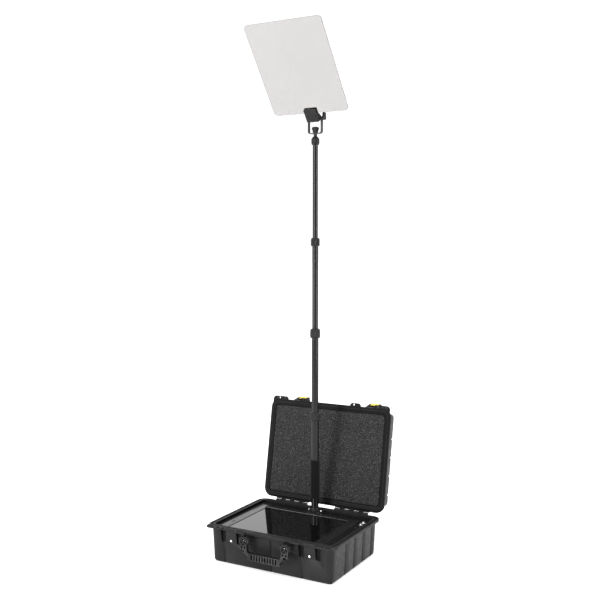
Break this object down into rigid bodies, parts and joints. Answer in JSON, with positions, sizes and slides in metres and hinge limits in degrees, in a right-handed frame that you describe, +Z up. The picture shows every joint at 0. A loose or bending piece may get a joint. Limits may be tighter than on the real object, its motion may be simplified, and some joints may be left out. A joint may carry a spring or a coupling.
{
  "type": "case teleprompter",
  "caption": "Teleprompter in a carry case: a monitor lying face up in the open base, and a telescopic pole that holds a tilting beam-splitter glass above it.",
  "frame": {"origin": "centre of the case's underside, on the floor", "axes": "+X along the case's width, to the right of a person in front of the handle; -Y towards that person; +Y towards the lid's hinges; +Z up along the pole"},
  "size_m": [0.55, 0.6144, 2.0169],
  "materials": {
    "case_plastic": "fine moulded grain",
    "gasket_rubber": "matt",
    "case_foam": "open-cell foam",
    "latch_plastic": "satin moulded",
    "button_yellow": "satin moulded",
    "steel": "bright turned",
    "deck_black": "black powder coat",
    "bezel_plastic": "semi-gloss moulded",
    "screen_gloss": "polished front glass over a dark display",
    "housing_metal": "plain sheet",
    "panel_core": "display module",
    "board_green": "solder mask",
    "pole_black": "black anodised",
    "grip_foam": "closed-cell foam",
    "collar_black": "moulded, ribbed",
    "nylon": "natural nylon",
    "clamp_black": "black powder coat",
    "pad_rubber": "matt",
    "prompter_glass": "half-silvered beam-splitter"
  },
  "bodies": {
    "base": {"base_shell": "case_plastic", "rim_gasket": "gasket_rubber", "latch_strike_left": "steel", "latch_strike_right": "steel", "hinge_pin_left": "steel", "hinge_pin_right": "steel", "handle_bracket_left": "latch_plastic", "handle_bracket_right": "latch_plastic", "handle_pin_left": "steel", "handle_pin_right": "steel", "deck_plate": "deck_black", "deck_rail_left": "housing_metal", "deck_rail_right": "housing_metal", "monitor_bezel": "bezel_plastic", "screen_glass": "screen_gloss", "lcd_panel": "panel_core", "monitor_housing": "housing_metal", "driver_board": "board_green", "power_supply": "housing_metal", "power_socket": "steel", "video_socket": "steel", "pole_post": "housing_metal", "pole_flange": "pole_black", "flange_screw_left": "steel", "flange_screw_right": "steel", "pole_tube_1": "pole_black", "foam_grip": "grip_foam", "collet_1": "nylon"},
    "lid": {"lid_shell": "case_plastic", "lid_foam": "case_foam", "latch_pin_left": "steel", "latch_pin_right": "steel"},
    "latch_left": {"latch_left": "latch_plastic"},
    "latch_right": {"latch_right": "latch_plastic"},
    "latch_button_left": {"latch_button_left": "button_yellow"},
    "latch_button_right": {"latch_button_right": "button_yellow"},
    "handle": {"handle": "latch_plastic"},
    "power_switch": {"power_switch": "latch_plastic"},
    "monitor_button": {"monitor_button": "bezel_plastic"},
    "twist_collar_1": {"twist_collar_1": "collar_black"},
    "twist_collar_2": {"twist_collar_2": "collar_black"},
    "twist_collar_3": {"twist_collar_3": "collar_black"},
    "tube_2": {"pole_tube_2": "pole_black", "collet_2": "nylon"},
    "tube_3": {"pole_tube_3": "pole_black", "collet_3": "nylon"},
    "tube_4": {"pole_tube_4": "pole_black", "pole_head": "collar_black"},
    "pan_knob": {"pan_knob": "collar_black"},
    "yoke": {"yoke": "clamp_black"},
    "glass_clamp": {"clamp_back_jaw": "clamp_black", "clamp_front_jaw": "clamp_black", "clamp_pad_back": "pad_rubber", "clamp_pad_front": "pad_rubber", "clamp_screw_left": "steel", "clamp_screw_right": "steel", "glass_panel": "prompter_glass", "pivot_bolt": "steel"},
    "tilt_lever": {"tilt_lever": "clamp_black"}
  },
  "joints": [
    {"name": "lid_hinge", "type": "hinge", "parent": "base", "child": "lid", "pos_m": [0, 0.2137, 0.1421], "axis": [1, 0, 0], "range_deg": [0, 12]},
    {"name": "latch_left_hinge", "type": "hinge", "parent": "lid", "child": "latch_left", "pos_m": [-0.168, 0.32708, 0.54036], "axis": [1, 0, 0], "range_deg": [-14, 128]},
    {"name": "latch_right_hinge", "type": "hinge", "parent": "lid", "child": "latch_right", "pos_m": [0.168, 0.32708, 0.54036], "axis": [1, 0, 0], "range_deg": [-14, 128]},
    {"name": "latch_button_left_press", "type": "slide", "parent": "latch_left", "child": "latch_button_left", "axis": [0, 0.1219, -0.9925], "range_m": [0, 0.002], "stiffness_N_per_m": 500, "springref_m": -0.001},
    {"name": "latch_button_right_press", "type": "slide", "parent": "latch_right", "child": "latch_button_right", "axis": [0, 0.1219, -0.9925], "range_m": [0, 0.002], "stiffness_N_per_m": 500, "springref_m": -0.001},
    {"name": "handle_swing", "type": "hinge", "parent": "base", "child": "handle", "pos_m": [0, -0.2245, 0.118], "axis": [-1, 0, 0], "range_deg": [-15, 95]},
    {"name": "power_switch_rock", "type": "hinge", "parent": "base", "child": "power_switch", "pos_m": [0.2315, 0.066, 0.131], "axis": [1, 0, 0], "range_deg": [0, 12]},
    {"name": "monitor_button_press", "type": "slide", "parent": "base", "child": "monitor_button", "axis": [0, 0, -1], "range_m": [0, 0.0008], "stiffness_N_per_m": 600, "springref_m": -0.001},
    {"name": "twist_collar_1_turn", "type": "hinge", "parent": "base", "child": "twist_collar_1", "pos_m": [0, 0.163, 0.504], "axis": [0, 0, 1], "range_deg": [0, 120]},
    {"name": "tube_2_slide", "type": "slide", "parent": "base", "child": "tube_2", "axis": [0, 0, 1], "range_m": [-0.297, 0]},
    {"name": "twist_collar_2_turn", "type": "hinge", "parent": "tube_2", "child": "twist_collar_2", "pos_m": [0, 0.163, 0.837], "axis": [0, 0, 1], "range_deg": [0, 120]},
    {"name": "tube_3_slide", "type": "slide", "parent": "tube_2", "child": "tube_3", "axis": [0, 0, 1], "range_m": [-0.325, 0]},
    {"name": "twist_collar_3_turn", "type": "hinge", "parent": "tube_3", "child": "twist_collar_3", "pos_m": [0, 0.163, 1.2], "axis": [0, 0, 1], "range_deg": [0, 120]},
    {"name": "tube_4_slide", "type": "slide", "parent": "tube_3", "child": "tube_4", "axis": [0, 0, 1], "range_m": [-0.361, 0]},
    {"name": "pan_turn", "type": "hinge", "parent": "tube_4", "child": "yoke", "pos_m": [0, 0.163, 1.6385], "axis": [0, 0, 1], "continuous": true},
    {"name": "pan_knob_turn", "type": "hinge", "parent": "tube_4", "child": "pan_knob", "pos_m": [0, 0.163, 1.6415], "axis": [0, 0, 1], "range_deg": [0, 360]},
    {"name": "glass_tilt", "type": "hinge", "parent": "yoke", "child": "glass_clamp", "pos_m": [0, 0.163, 1.697], "axis": [1, 0, 0], "range_deg": [-50, 45]},
    {"name": "tilt_lever_turn", "type": "hinge", "parent": "yoke", "child": "tilt_lever", "pos_m": [0.036, 0.163, 1.697], "axis": [1, 0, 0], "range_deg": [0, 90]}
  ]
}
